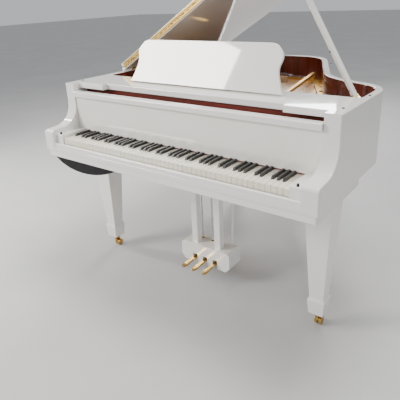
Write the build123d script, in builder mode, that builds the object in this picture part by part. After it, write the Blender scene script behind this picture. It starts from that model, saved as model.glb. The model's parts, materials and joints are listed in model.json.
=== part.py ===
"""Small white grand piano, lid up on its prop: one solid or group of like solids per file.

Millimetres. X runs from the bass end (-) to the treble end (+), Y from the player (-) to the tail (+),
Z up from the floor. The middle of the keyboard and of the overall length is at the origin.
"""
import os
from math import atan2, cos, degrees, radians, sin, sqrt, tan

from build123d import *

os.makedirs("parts", exist_ok=True)

# ---- overall case ----
HALF_W = 730.0            # half the width over the case
FRONT = -755.0            # front faces of the arms
TAIL = 755.0              # end of the tail
RIM_TOP = 985.0
RIM_BOTTOM = 675.0        # also the top of the keybed
RIM_T = 30.0              # outer rim thickness
LINING_T = 3.0            # inner veneer
INNER_T = 35.0            # inner rim thickness
BOARD_Z = 830.0           # underside of the soundboard
BOARD_T = 8.0

# plan of the bent side, walked from the treble front round to the spine
BEND_Y = -165.0           # end of the straight treble side
SHOULDER_R = 170.0
SHOULDER_TURN = 66.0
FLAT = 100.0              # straight between shoulder and waist
WAIST_R = 330.0
WAIST_TURN = 42.0
TAIL_R = 230.0
CORNER_R = 110.0          # spine to tail

# ---- arms and keyboard ----
ARM_T = 62.0
ARM_BACK = -305.0
ARM_IN = HALF_W - ARM_T   # inner faces of the arms
KEYBED_Z = 640.0
KEYBED_BACK = -335.0
KEY_PITCH = 1225.5 / 52
KEY_FRONT = FRONT + 26.6
KEY_BACK = KEY_FRONT + 380.0
KEY_Z0, KEY_Z1 = 712.0, 742.0
SHARP_TOP = 754.0
SHARP_Y0 = KEY_FRONT + 51.6
SHARP_Y1 = -586.0
KEY_GAP = 1.1
SHARP_W = 10.4
SHARP_SLOT = 13.4
PIVOT_Y = KEY_FRONT + 215.0
MOVING_WHITES = {23: "key_c4", 24: "key_d4", 25: "key_e4"}
MOVING_SHARPS = {23: "key_c_sharp4", 24: "key_d_sharp4"}

# ---- fallboard, shelves, desk ----
FALL_FACE = FRONT + 172.0
FALL_T = 18.0
FALL_Z0, FALL_Z1 = 748.0, 948.0
FALL_PIN_Y, FALL_PIN_Z, FALL_PIN_R = FALL_FACE + 3.0, 790.0, 2.8
SHELF_Z0, SHELF_Z1 = 957.0, RIM_TOP
TRAY_HALF = 491.0
TRAY_FRONT = FRONT + 235.0
TRAY_BACK = -315.0
SHELF_FRONT = FRONT + 205.0
DESK_Y, DESK_AXIS_Z, DESK_T, DESK_LEAN = FRONT + 340.0, RIM_TOP + 6.5, 12.0, 20.0

# ---- lid ----
LID_T = 16.0
LID_OPEN = 31.5
HINGE_X, HINGE_Z = -718.0, 993.0
LID_Z0 = RIM_TOP + 3.0    # underside of the closed lid
LID_Z1 = LID_Z0 + LID_T
LID_LEFT = HINGE_X - 5.0
FLAP_Y = -188.0           # line of the flap hinge
FLAP_GAP = 6.0
FLAP_DEPTH = 401.0
HINGE_YS = (-90.0, 210.0, 510.0)
CUP_X, CUP_Y = 422.0, -140.0

# ---- prop ----
PROP_BASE = Vector(652.0, -239.0, 968.0)
PROP_FLAT = Vector(-0.747, 0.6648, 0.0)   # direction the stick takes when laid down
PROP_W, PROP_T = 26.0, 16.0
SHORT_FROM, SHORT_TO = 42.0, 205.0

# ---- strings ----
STRING_Y0 = -366.0
PLAIN_Z, WOUND_Z = 862.0, 874.0
SECTIONS = ((-600.0, -365.0), (-285.0, -45.0), (5.0, 265.0), (315.0, 600.0))
STRUT_XS = (-310.0, -20.0, 290.0)
LEAN = -0.20              # sideways run of the plain strings per unit length
BASS_LEAN = 0.27
PLATE_Z0, PLATE_Z1 = 838.0, 850.0

# ---- legs, lyre, casters ----
LEG_X, LEG_Y = 630.0, FRONT + 300.0
REAR_X, REAR_Y = -360.0, FRONT + 1200.0
FOOT_Z = 72.0
LYRE_Y0, LYRE_Y1 = FRONT + 345.0, FRONT + 381.0
PEDAL_XS = (-62.0, 0.0, 62.0)
PEDAL_PIVOT_Y, PEDAL_PIVOT_Z = FRONT + 375.0, 92.0
ROD_Y = FRONT + 405.0
WHEEL_R = 19.0
TRAIL = 14.0


def block(x0, x1, y0, y1, z0, z1, mode=Mode.ADD):
    """A box given by its limits."""
    with Locations(((x0 + x1) / 2, (y0 + y1) / 2, (z0 + z1) / 2)):
        Box(x1 - x0, y1 - y0, z1 - z0, mode=mode)


def rod_between(a, b, r, mode=Mode.ADD):
    """A round bar from point a to point b."""
    a, b = Vector(*a), Vector(*b)
    with Locations(Plane(origin=(a + b) * 0.5, z_dir=(b - a))):
        Cylinder(r, (b - a).length, mode=mode)


def plan(inset, front, mode=Mode.ADD):
    """Plan outline of the case from a front line back to the tail, moved in by inset all round."""
    half, tail = HALF_W - inset, TAIL - inset
    with BuildLine() as line:
        right = Line((half, front), (half, BEND_Y))
        shoulder = JernArc(right @ 1, right % 1, SHOULDER_R - inset, SHOULDER_TURN)
        flat = Line(shoulder @ 1, (shoulder @ 1) + (shoulder % 1) * FLAT)
        waist = JernArc(flat @ 1, flat % 1, WAIST_R + inset, -WAIST_TURN)
        turn_left = 90.0 - SHOULDER_TURN + WAIST_TURN
        rise = tail - (TAIL_R - inset) * (1 - cos(radians(turn_left))) - (waist @ 1).Y
        run = Line(waist @ 1, (waist @ 1) + (waist % 1) * (rise / sin(radians(turn_left))))
        end = JernArc(run @ 1, run % 1, TAIL_R - inset, turn_left)
        back = Line(end @ 1, (-HALF_W + CORNER_R, tail))
        corner = JernArc(back @ 1, (-1, 0), CORNER_R - inset, 90)
        spine = Line(corner @ 1, (-half, front))
        Line(spine @ 1, right @ 0)
    make_face(line.edges(), mode=mode)


def ring(outer, inner, front, z0, z1):
    """Upright wall that follows the plan between two insets, open at the front."""
    with BuildSketch(Plane.XY.offset(z0)) as wall:
        plan(outer, front)
        plan(inner, front - 1, mode=Mode.SUBTRACT)
    extrude(wall.sketch, amount=z1 - z0)


def save(part, name):
    part.label = name
    export_step(part, f"parts/{name}.step")


# ================= case =================
with BuildPart() as outer_rim:
    ring(0, RIM_T, ARM_BACK, RIM_BOTTOM, RIM_TOP)
    fillet(outer_rim.faces().sort_by(Axis.Z)[-1].outer_wire().edges().filter_by(
        lambda e: e.center().Y > ARM_BACK + 1), 3)
save(outer_rim.part, "outer_rim")

with BuildPart() as rim_lining:
    ring(RIM_T, RIM_T + LINING_T, ARM_BACK, PLATE_Z0, RIM_TOP - 3)
save(rim_lining.part, "rim_lining")

with BuildPart() as inner_rim:
    ring(RIM_T, RIM_T + INNER_T, ARM_BACK, RIM_BOTTOM, BOARD_Z)
save(inner_rim.part, "inner_rim")


def arm(side, name):
    """One arm: a thick side with the scooped front that drops to the key level."""
    with BuildPart() as part:
        start = -HALF_W if side < 0 else ARM_IN
        with BuildSketch(Plane.YZ.offset(start)):
            with BuildLine():
                Polyline((ARM_BACK, RIM_TOP), (ARM_BACK, RIM_BOTTOM), (FRONT, RIM_BOTTOM), (FRONT, 758))
                nose = ThreePointArc((FRONT, 758), (FRONT + 6, 772), (FRONT + 20, 777))
                lap = Line(nose @ 1, (FRONT + 66, 780))
                scoop = ThreePointArc(lap @ 1, (FRONT + 137, 810), (FRONT + 166, 880))
                Polyline(scoop @ 1, (FRONT + 166, RIM_TOP), (ARM_BACK, RIM_TOP))
            make_face()
        extrude(amount=ARM_T)
        outline = part.edges().filter_by(lambda e: e.center().Y < ARM_BACK - 1
                                         and e.center().Z > RIM_BOTTOM + 1
                                         and abs(abs(e.center().X) - HALF_W) < 0.01)
        fillet(outline, 4)
        rod_between((side * (ARM_IN - 1), FALL_PIN_Y, FALL_PIN_Z),
                    (side * (ARM_IN + 11), FALL_PIN_Y, FALL_PIN_Z), FALL_PIN_R + 0.05, Mode.SUBTRACT)
    save(part.part, name)


arm(-1, "arm_left")
arm(1, "arm_right")

with BuildPart() as keybed:
    block(-HALF_W + 8, HALF_W - 8, FRONT + 8, KEYBED_BACK, KEYBED_Z, RIM_BOTTOM)
    fillet(keybed.edges().filter_by(lambda e: e.center().Y < FRONT + 9), 5)
    with Locations(*[(x, ROD_Y, KEYBED_Z + 17) for x in PEDAL_XS]):
        Cylinder(6, 40, mode=Mode.SUBTRACT)
save(keybed.part, "keybed")

with BuildPart() as keyslip:
    block(-ARM_IN, ARM_IN, FRONT + 4, FRONT + 22, RIM_BOTTOM, KEY_Z0 + 2)
    fillet(keyslip.edges().filter_by(Axis.X).sort_by(Axis.Z)[-2:], 3)
    block(-ARM_IN, ARM_IN, FRONT, FRONT + 6, RIM_BOTTOM, 694)
save(keyslip.part, "keyslip")

with BuildPart() as key_blocks:
    for side in (-1, 1):
        x0, x1 = sorted((side * 615.0, side * ARM_IN))
        block(x0, x1, FRONT + 22, FALL_FACE - 0.6, RIM_BOTTOM, 757)
    fillet(key_blocks.edges().filter_by(Axis.X).group_by(Axis.Z)[-1].sort_by(Axis.Y)[:2], 5)
save(key_blocks.part, "key_blocks")

with BuildPart() as rubber_buttons:
    with Locations(*[(s * 641, FRONT + 34, 761.8) for s in (-1, 1)]):
        Cylinder(5, 9.6)
    with Locations(*[(x, y, RIM_TOP + 1.3) for x, y in
                     ((715, -260), (-703, 380), (-250, 741), (263, 475), (700, -500), (-700, -500))]):
        Cylinder(5, 2.6)
save(rubber_buttons.part, "rubber_buttons")

with BuildPart() as action:
    block(-612, 612, KEY_FRONT + 12, KEY_FRONT + 40, RIM_BOTTOM, KEY_Z0 - 14)
    block(-612, 612, PIVOT_Y - 12, PIVOT_Y + 12, RIM_BOTTOM, KEY_Z0 - 1.4)
    block(-612, 612, KEY_BACK - 34, KEY_BACK - 6, RIM_BOTTOM, KEY_Z0 - 4)
    block(-648, 648, -402, -384, 780, 798)
    for side in (-1, 1):
        x0, x1 = sorted((side * 632.0, side * 648.0))
        block(x0, x1, -402, -384, RIM_BOTTOM, 782)
    notes = [-KEY_PITCH * 25.8 + i * KEY_PITCH * 51.6 / 87 for i in range(88)]
    with Locations(*[(x, -365, 790) for x in notes]):
        Box(4, 44, 5)
    with Locations(*[(x, -343, 822) for x in notes]):
        Box(8, 12, 64)
save(action.part, "action")


# ================= keys =================
def has_sharp(i):
    """True where a sharp stands between natural i and i + 1 (natural 0 is the lowest A)."""
    return 0 <= i < 51 and (i + 5) % 7 not in (2, 6)


def natural_x(i):
    return (i - 25.5) * KEY_PITCH


def natural(i):
    """Plan of natural key i: a wide head and a tail narrowed beside each sharp."""
    half = (KEY_PITCH - KEY_GAP) / 2
    left = -half + (SHARP_SLOT - KEY_GAP) / 2 if has_sharp(i - 1) else -half
    right = half - (SHARP_SLOT - KEY_GAP) / 2 if has_sharp(i) else half
    x = natural_x(i)
    with Locations((x, KEY_FRONT + 25)):
        Rectangle(2 * half, 50)
    with Locations((x + (left + right) / 2, (KEY_FRONT + 40 + KEY_BACK) / 2)):
        Rectangle(right - left, KEY_BACK - KEY_FRONT - 40)


def naturals(indices, name):
    with BuildPart() as part:
        with BuildSketch(Plane.XY.offset(KEY_Z0)):
            for i in indices:
                natural(i)
        extrude(amount=KEY_Z1 - KEY_Z0)
        front_top = part.edges().filter_by(Axis.X).filter_by(
            lambda e: e.center().Y < KEY_FRONT + 1 and e.center().Z > KEY_Z1 - 1)
        fillet(front_top, 1.5)
    save(part.part, name)


def sharps(indices, name):
    with BuildPart() as part:
        with BuildSketch(Plane.YZ.offset(-SHARP_W / 2)):
            Polygon((SHARP_Y0, KEY_Z0), (SHARP_Y0, KEY_Z1), (SHARP_Y0 + 7, SHARP_TOP), (SHARP_Y1, SHARP_TOP),
                    (SHARP_Y1, KEY_Z1 - 2), (KEY_BACK, KEY_Z1 - 2), (KEY_BACK, KEY_Z0), align=None)
        extrude(amount=SHARP_W)
        top = part.faces().filter_by(lambda f: f.center().Z > KEY_Z1 + 1 and abs(f.center().X) < 1)
        chamfer(top.edges().filter_by(lambda e: abs(e.center().X) > 4 and e.center().Z > SHARP_TOP - 1), 1.2)
        single = part.part
    with BuildPart() as row:
        with Locations(*[(natural_x(i) + KEY_PITCH / 2, 0, 0) for i in indices]):
            add(single)
    save(row.part, name)


naturals([i for i in range(52) if i not in MOVING_WHITES], "white_keys")
sharps([i for i in range(51) if has_sharp(i) and i not in MOVING_SHARPS], "black_keys")
for i, key_name in MOVING_WHITES.items():
    naturals([i], key_name)
for i, key_name in MOVING_SHARPS.items():
    sharps([i], key_name)

with BuildPart() as nameboard_felt:
    block(-615, 615, FALL_FACE + 3, FALL_FACE + FALL_T - 3, KEY_Z1 + 1.2, FALL_Z0 - 1.4)
save(nameboard_felt.part, "nameboard_felt")

# ================= fallboard, shelves and desk =================
with BuildPart() as fallboard:
    block(-ARM_IN + 1.5, ARM_IN - 1.5, FALL_FACE, FALL_FACE + FALL_T, FALL_Z0, FALL_Z1)
    block(-ARM_IN + 1.5, ARM_IN - 1.5, FALL_FACE - 20, FALL_FACE + 1, FALL_Z1 - 28, FALL_Z1)
    fillet(fallboard.edges().filter_by(Axis.X).filter_by(
        lambda e: e.center().Z > FALL_Z1 - 30 and e.center().Y < FALL_FACE - 10), 6)
    for side in (-1, 1):
        rod_between((side * (ARM_IN - 12), FALL_PIN_Y, FALL_PIN_Z),
                    (side * (ARM_IN + 9), FALL_PIN_Y, FALL_PIN_Z), FALL_PIN_R)
save(fallboard.part, "fallboard")

with BuildPart() as music_rail:
    block(-ARM_IN, ARM_IN, FRONT + 250, FRONT + 270, KEY_Z1 + 8, SHELF_Z0 - 1)
save(music_rail.part, "music_rail")

with BuildPart() as side_shelves:
    for side in (-1, 1):
        x0, x1 = sorted((side * (TRAY_HALF + 1), side * ARM_IN))
        block(x0, x1, SHELF_FRONT, TRAY_BACK, SHELF_Z0, SHELF_Z1)
    fillet(side_shelves.edges().filter_by(Axis.X).filter_by(
        lambda e: e.center().Y < SHELF_FRONT + 1), 4)
    for side in (-1, 1):
        x0, x1 = sorted((side * (TRAY_HALF + 1), side * (TRAY_HALF + 28)))
        block(x0, x1, FRONT + 271, TRAY_BACK, 943, SHELF_Z0)
        x0, x1 = sorted((side * (TRAY_HALF - 13), side * (TRAY_HALF + 2)))
        block(x0, x1, FRONT + 271, TRAY_BACK, 943, SHELF_Z0 - 0.2)
save(side_shelves.part, "side_shelves")

with BuildPart() as music_tray:
    block(-TRAY_HALF, TRAY_HALF, TRAY_FRONT, TRAY_BACK, SHELF_Z0 + 10, SHELF_Z1)
    block(-TRAY_HALF, TRAY_HALF, TRAY_FRONT, TRAY_FRONT + 20, SHELF_Z0, SHELF_Z1)
    fillet(music_tray.edges().filter_by(Axis.X).filter_by(
        lambda e: e.center().Y < TRAY_FRONT + 1), 4)
    for side in (-1, 1):
        x0, x1 = sorted((side * (TRAY_HALF - 15), side * TRAY_HALF))
        block(x0, x1, TRAY_FRONT + 19, TRAY_BACK, SHELF_Z0, SHELF_Z0 + 11)
save(music_tray.part, "music_tray")

with BuildPart() as music_desk:
    with BuildSketch(Plane.XZ.offset(-DESK_Y - DESK_T / 2)):
        with BuildLine():
            foot = Line((-425, DESK_AXIS_Z - 2), (425, DESK_AXIS_Z - 2))
            right = Spline((425, DESK_AXIS_Z - 2), (399, DESK_AXIS_Z + 55), (389, DESK_AXIS_Z + 108),
                           (398, DESK_AXIS_Z + 152), (374, DESK_AXIS_Z + 190), (325, DESK_AXIS_Z + 205),
                           tangents=((-1, 1.2), (-1, 0)))
            left = Spline((-425, DESK_AXIS_Z - 2), (-399, DESK_AXIS_Z + 55), (-389, DESK_AXIS_Z + 108),
                          (-398, DESK_AXIS_Z + 152), (-374, DESK_AXIS_Z + 190), (-325, DESK_AXIS_Z + 205),
                          tangents=((1, 1.2), (1, 0)))
            Line(left @ 1, right @ 1)
        make_face()
    extrude(amount=DESK_T)
    fillet(music_desk.edges().filter_by(lambda e: e.center().Z > DESK_AXIS_Z + 10), 2.5)
desk_axis = Axis((0, DESK_Y, DESK_AXIS_Z), (1, 0, 0))
save(music_desk.part.rotate(desk_axis, -DESK_LEAN), "music_desk")

# ================= lid =================
lid_axis = Axis((HINGE_X, 0, HINGE_Z), (0, 1, 0))


def open_lid(part):
    """Swings a piece drawn with the lid shut up to the propped position."""
    return part.rotate(lid_axis, -LID_OPEN)


with BuildPart() as lid_panel:
    with BuildSketch(Plane.XY.offset(LID_Z0)):
        plan(0, FLAP_Y + 0.5)
        with Locations(((LID_LEFT - 20), 300)):
            Rectangle(40, 1400, mode=Mode.SUBTRACT)
        with Locations(*[(HINGE_X, y) for y in HINGE_YS]):
            Rectangle(13, 62, mode=Mode.SUBTRACT)
    extrude(amount=LID_T)
    rounded = lid_panel.faces().sort_by(Axis.Z)[-1].outer_wire().edges() \
        + lid_panel.faces().sort_by(Axis.Z)[0].outer_wire().edges()
    fillet(rounded.filter_by(lambda e: e.center().X > LID_LEFT + 30 and e.center().Y > FLAP_Y + 2), 3)
save(open_lid(lid_panel.part), "lid_panel")


def knuckle(y0, y1, r, bore, web_z0):
    """One knuckle of a lid hinge round the pin, with the web that joins it to its leaf."""
    block(HINGE_X - 2, HINGE_X + 6, y0, y1, web_z0, HINGE_Z)
    rod_between((HINGE_X, y0, HINGE_Z), (HINGE_X, y1, HINGE_Z), r)
    if bore:
        rod_between((HINGE_X, y0 - 1, HINGE_Z), (HINGE_X, y1 + 1, HINGE_Z), bore, Mode.SUBTRACT)


with BuildPart() as case_hinges:
    for y in HINGE_YS:
        block(HINGE_X + 4, HINGE_X + 17, y - 30, y + 30, RIM_TOP, RIM_TOP + 1.2)
        knuckle(y - 30, y - 10.3, 4, 0, RIM_TOP + 0.1)
        knuckle(y + 10.3, y + 30, 4, 0, RIM_TOP + 0.1)
        rod_between((HINGE_X, y - 12, HINGE_Z), (HINGE_X, y + 12, HINGE_Z), 2)
save(case_hinges.part, "case_hinges")

with BuildPart() as lid_hinges:
    for y in HINGE_YS:
        block(HINGE_X + 5, HINGE_X + 24, y - 30, y + 30, LID_Z0 - 1.2, LID_Z0)
        knuckle(y - 10, y + 10, 4, 2.05, LID_Z0 - 1.2)
save(open_lid(lid_hinges.part), "lid_hinges")

with BuildPart() as prop_cup:
    block(CUP_X - 34, CUP_X + 34, CUP_Y - 25, CUP_Y + 25, LID_Z0 - 6, LID_Z0)
    fillet(prop_cup.edges().filter_by(Axis.Z), 8)
save(open_lid(prop_cup.part), "prop_cup")

with BuildPart() as flap_hinge:
    rod_between((-700, FLAP_Y, LID_Z1 + FLAP_GAP / 2), (705, FLAP_Y, LID_Z1 + FLAP_GAP / 2), 2.5)
    block(-700, 705, FLAP_Y + 0.5, FLAP_Y + 30, LID_Z1, LID_Z1 + 1.2)
save(open_lid(flap_hinge.part), "flap_hinge")

with BuildPart() as lid_flap:
    z0 = LID_Z1 + FLAP_GAP
    block(LID_LEFT + 12, HALF_W, FLAP_Y + 0.5, FLAP_Y + FLAP_DEPTH, z0, z0 + LID_T)
    fillet(lid_flap.edges().filter_by(Axis.Z).filter_by(lambda e: e.center().Y > 0), 12)
    fillet(lid_flap.edges().filter_by(lambda e: e.center().Y > FLAP_Y + 2
                                      and (abs(e.center().Z - z0) < 0.1
                                           or abs(e.center().Z - z0 - LID_T) < 0.1)), 3)
save(open_lid(lid_flap.part), "lid_flap")

# ================= prop =================
tilt = radians(LID_OPEN)
cup_dx, cup_dz = CUP_X - HINGE_X, LID_Z0 - 6 - HINGE_Z
cup_point = Vector(HINGE_X + cup_dx * cos(tilt) - cup_dz * sin(tilt), CUP_Y,
                   HINGE_Z + cup_dx * sin(tilt) + cup_dz * cos(tilt))
prop_dir = (cup_point - PROP_BASE).normalized()
prop_axis = prop_dir.cross(PROP_FLAT).normalized()
prop_len = (cup_point - PROP_BASE).length - 2.5
# in this frame x runs up the stick, y towards the laid-down position, z along the hinge pin
prop_plane = Plane(origin=PROP_BASE, x_dir=prop_dir, z_dir=prop_axis)

with BuildPart() as prop_stick:
    with BuildSketch(prop_plane.offset(-PROP_T / 2)):
        with Locations((prop_len / 2, 0)):
            Rectangle(prop_len, PROP_W)
        Circle(PROP_W / 2)
        Circle(3.05, mode=Mode.SUBTRACT)
    extrude(amount=PROP_T)
    with BuildSketch(prop_plane.offset(-4.3)):
        with Locations(((SHORT_FROM + SHORT_TO) / 2, PROP_W / 2)):
            Rectangle(SHORT_TO - SHORT_FROM + 14, 24)
    extrude(amount=8.6, mode=Mode.SUBTRACT)
    with BuildSketch(prop_plane.offset(-8.5)):
        with Locations((SHORT_FROM + 6, 8.5)):
            Circle(1.55)
    extrude(amount=17, mode=Mode.SUBTRACT)
save(prop_stick.part, "prop_stick")

with BuildPart() as short_prop:
    with BuildSketch(prop_plane.offset(-3.9)):
        with Locations(((SHORT_FROM + SHORT_TO) / 2, 8.75)):
            Rectangle(SHORT_TO - SHORT_FROM, 8.5)
    extrude(amount=7.8)
    with BuildSketch(prop_plane.offset(-7.6)):
        with Locations((SHORT_FROM + 6, 8.5)):
            Circle(1.5)
    extrude(amount=15.2)
save(short_prop.part, "short_prop")

with BuildPart() as prop_bracket:
    with BuildSketch(prop_plane.offset(-PROP_T / 2 - 3.4)):
        Circle(12)
        with Locations(Location((0, 0), 210)):
            with Locations((30, 0)):
                Rectangle(60, 20)
    extrude(amount=PROP_T + 6.8)
    with BuildSketch(prop_plane.offset(-PROP_T / 2 - 0.4)):
        Circle(PROP_W / 2 + 1.2)
        with Locations((20, 0)):
            Rectangle(40, PROP_W + 2.4)
        with Locations(Location((0, 0), 62)):
            with Locations((20, 0)):
                Rectangle(40, PROP_W + 2.4)
    extrude(amount=PROP_T + 0.8, mode=Mode.SUBTRACT)
    with BuildSketch(prop_plane.offset(-PROP_T / 2 - 3.4)):
        Circle(3)
    extrude(amount=PROP_T + 6.8)
    block(HALF_W - RIM_T - LINING_T, HALF_W, -400, 0, 800, 1100, mode=Mode.SUBTRACT)
save(prop_bracket.part, "prop_bracket")

# ================= frame, soundboard, strings =================
with BuildPart() as case_beams:
    block(-ARM_IN, ARM_IN, -330, ARM_BACK, RIM_BOTTOM, BOARD_Z)
    with BuildSketch(Plane.XY.offset(RIM_BOTTOM)):
        for x0, x1 in ((-560.0, -460.0), (-300.0, -330.0), (80.0, -150.0), (430.0, 60.0)):
            ang = degrees(atan2(TAIL - ARM_BACK, x1 - x0))
            with Locations(Location(((x0 + x1) / 2, (ARM_BACK + TAIL) / 2), ang)):
                Rectangle(1200, 62)
        with Locations((REAR_X, REAR_Y)):
            Rectangle(240, 170)
        plan(RIM_T + INNER_T, ARM_BACK, mode=Mode.INTERSECT)
    extrude(amount=90)
save(case_beams.part, "case_beams")

with BuildPart() as pinblock:
    block(-ARM_IN, ARM_IN, -440, -354, 802, PLATE_Z0)
save(pinblock.part, "pinblock")

with BuildPart() as soundboard:
    with BuildSketch(Plane.XY.offset(BOARD_Z)):
        plan(RIM_T, ARM_BACK)
    extrude(amount=BOARD_T)
    block(-ARM_IN, ARM_IN, -330, ARM_BACK, BOARD_Z, BOARD_Z + BOARD_T)
    with BuildSketch(Plane.XY.offset(BOARD_Z - 20)):
        for i in range(8):
            with Locations(Location((-60 + 10 * i, -200 + 122 * i), -38)):
                Rectangle(1700, 22)
        plan(RIM_T + INNER_T, -290, mode=Mode.INTERSECT)
    extrude(amount=20)
save(soundboard.part, "soundboard")


def crossing(x0, lean, line):
    """Where a string that starts at (x0, STRING_Y0) meets a polyline."""
    for (ax, ay), (bx, by) in zip(line, line[1:]):
        ex, ey = bx - ax, by - ay
        t = ((x0 - ax) - lean * (STRING_Y0 - ay)) / (ex - lean * ey)
        if -1e-6 <= t <= 1 + 1e-6:
            return ax + t * ex, ay + t * ey
    return x0, STRING_Y0 + 100


HITCH = ((640.0, -190.0), (470.0, -5.0), (350.0, 120.0), (160.0, 480.0), (100.0, 555.0), (-60.0, 535.0),
         (-560.0, 395.0))
BRIDGE = ((600.0, -262.0), (430.0, -130.0), (250.0, 60.0), (60.0, 270.0), (-130.0, 370.0), (-470.0, 330.0))
BASS_BRIDGE = ((-400.0, 490.0), (-60.0, 585.0))
BASS_HITCH = ((-420.0, 560.0), (-20.0, 655.0))


def spread(section, count):
    a, b = section
    return [a + (b - a) * i / (count - 1) for i in range(count)]


with BuildPart() as bridges:
    for line, z1 in ((BRIDGE, PLAIN_Z - 0.6), (BASS_BRIDGE, WOUND_Z - 1.2)):
        with BuildSketch(Plane.XY.offset(BOARD_Z + BOARD_T)):
            with BuildLine():
                if len(line) > 2:
                    Spline(*line)
                else:
                    Line(*line)
            trace(line_width=26)
        extrude(amount=z1 - BOARD_Z - BOARD_T)
save(bridges.part, "bridges")

with BuildPart() as treble_strings:
    for section, count in zip(SECTIONS[1:], (24, 27, 30)):
        for x in spread(section, count):
            hx, hy = crossing(x, LEAN, HITCH)
            rod_between((x, STRING_Y0, PLAIN_Z), (hx, hy, PLAIN_Z), 0.6)
save(treble_strings.part, "treble_strings")

with BuildPart() as bass_strings:
    for x in spread(SECTIONS[0], 20):
        hx, hy = crossing(x, BASS_LEAN, BASS_HITCH)
        rod_between((x, STRING_Y0, WOUND_Z), (hx, hy, WOUND_Z), 1.2)
save(bass_strings.part, "bass_strings")

with BuildPart() as iron_plate:
    ring(RIM_T + LINING_T + 0.2, 74, ARM_BACK, PLATE_Z0, PLATE_Z1)
    block(-ARM_IN, ARM_IN, -442, -354, PLATE_Z0, PLATE_Z1)
    for x0, x1 in ((-ARM_IN, -632.0), (632.0, ARM_IN)):
        block(x0, x1, -355, -300, PLATE_Z0, PLATE_Z1)
    for x in STRUT_XS:
        hx, hy = crossing(x, LEAN, ((700.0, -165.0), (505.0, 20.0), (390.0, 130.0), (205.0, 500.0),
                                    (80.0, 645.0), (-100.0, 700.0), (-560.0, 700.0)))
        ang = degrees(atan2(hy - STRING_Y0, hx - x))
        length = sqrt((hx - x) ** 2 + (hy - STRING_Y0) ** 2)
        with BuildSketch(Plane.XY.offset(884)):
            with Locations(Location(((x + hx) / 2, (STRING_Y0 + hy) / 2), ang)):
                Rectangle(length + 24, 18)
        extrude(amount=16)
        for px, py in ((x, STRING_Y0), (hx, hy)):
            with BuildSketch(Plane.XY.offset(PLATE_Z0)):
                with Locations(Location((px, py), ang)):
                    Rectangle(24, 18)
            extrude(amount=60)
    block(-ARM_IN, ARM_IN, STRING_Y0 - 4, STRING_Y0, PLATE_Z1 - 1, PLAIN_Z - 1)
save(iron_plate.part, "iron_plate")

with BuildPart() as tuning_pins:
    spots = []
    for section, count in zip(SECTIONS, (20, 18, 20, 22)):
        for row, y in enumerate((-424.0, -406.0, -388.0)):
            spots += [(x + 4 * row - 4, y, PLATE_Z1 + 13) for x in spread(section, count)]
    with Locations(*spots):
        Cylinder(3.2, 26)
save(tuning_pins.part, "tuning_pins")

with BuildPart() as dampers:
    with Locations(*[(x + BASS_LEAN * 60, -306, WOUND_Z + 9) for x in spread(SECTIONS[0], 20)]):
        Box(9, 30, 15)
    for section, count in zip(SECTIONS[1:3], (20, 22)):
        with Locations(*[(x + LEAN * 60, -306, PLAIN_Z + 11) for x in spread(section, count)]):
            Box(9, 30, 20)
save(dampers.part, "dampers")


# ================= legs, lyre, casters =================
def leg(x, y, top, name):
    """Square tapered leg with a top block and a flared foot, bored below for the caster stem."""
    with BuildPart() as part:
        block(x - 66, x + 66, y - 66, y + 66, top - 24, top)
        fillet(part.edges().filter_by(Axis.Z), 5)
        with BuildSketch(Plane.XY.offset(152)):
            with Locations((x, y)):
                Rectangle(62, 62)
        with BuildSketch(Plane.XY.offset(top - 24)):
            with Locations((x, y)):
                Rectangle(116, 116)
        loft()
        with BuildSketch(Plane.XY.offset(FOOT_Z)):
            with Locations((x, y)):
                Rectangle(64, 64)
        with BuildSketch(Plane.XY.offset(140)):
            with Locations((x, y)):
                Rectangle(76, 76)
        loft()
        with BuildSketch(Plane.XY.offset(140)):
            with Locations((x, y)):
                Rectangle(76, 76)
        with BuildSketch(Plane.XY.offset(154)):
            with Locations((x, y)):
                Rectangle(62, 62)
        loft()
        with Locations((x, y, FOOT_Z + 10)):
            Cylinder(5.05, 24, mode=Mode.SUBTRACT)
    save(part.part, name)


leg(-LEG_X, LEG_Y, KEYBED_Z, "leg_left")
leg(LEG_X, LEG_Y, KEYBED_Z, "leg_right")
leg(REAR_X, REAR_Y, RIM_BOTTOM, "leg_rear")


def caster(x, y, place):
    """Twin-wheel brass caster: a swivelling yoke with a stem and one pair of wheels on its axle."""
    ay = y + TRAIL
    with BuildPart() as yoke:
        rod_between((x, y, FOOT_Z - 12), (x, y, FOOT_Z - 0.4), 22)
        rod_between((x, y, FOOT_Z - 6), (x, y, FOOT_Z + 18), 5)
        block(x - 3, x + 3, y - 12, ay + 8, 30, FOOT_Z - 8)
        block(x - 3, x + 3, ay - 8, ay + 8, WHEEL_R - 6, 34)
        rod_between((x - 17, ay, WHEEL_R), (x + 17, ay, WHEEL_R), 3)
    save(yoke.part, f"caster_yoke_{place}")
    with BuildPart() as wheels:
        for side in (-1, 1):
            rod_between((x + side * 3.6, ay, WHEEL_R), (x + side * 15.6, ay, WHEEL_R), WHEEL_R)
        fillet(wheels.edges().filter_by(GeomType.CIRCLE), 2)
        rod_between((x - 18, ay, WHEEL_R), (x + 18, ay, WHEEL_R), 3.05, Mode.SUBTRACT)
    save(wheels.part, f"caster_wheels_{place}")


caster(-LEG_X, LEG_Y, "left")
caster(LEG_X, LEG_Y, "right")
caster(REAR_X, REAR_Y, "rear")

with BuildPart() as lyre_frame:
    for x0, x1 in ((-88.0, -52.0), (52.0, 88.0)):
        block(x0, x1, LYRE_Y0, LYRE_Y1, 172, KEYBED_Z - 18)
    fillet(lyre_frame.edges().filter_by(Axis.Z), 2)
    block(-130, 130, LYRE_Y0 - 20, LYRE_Y1 + 12, KEYBED_Z - 18, KEYBED_Z)
save(lyre_frame.part, "lyre_frame")

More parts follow.
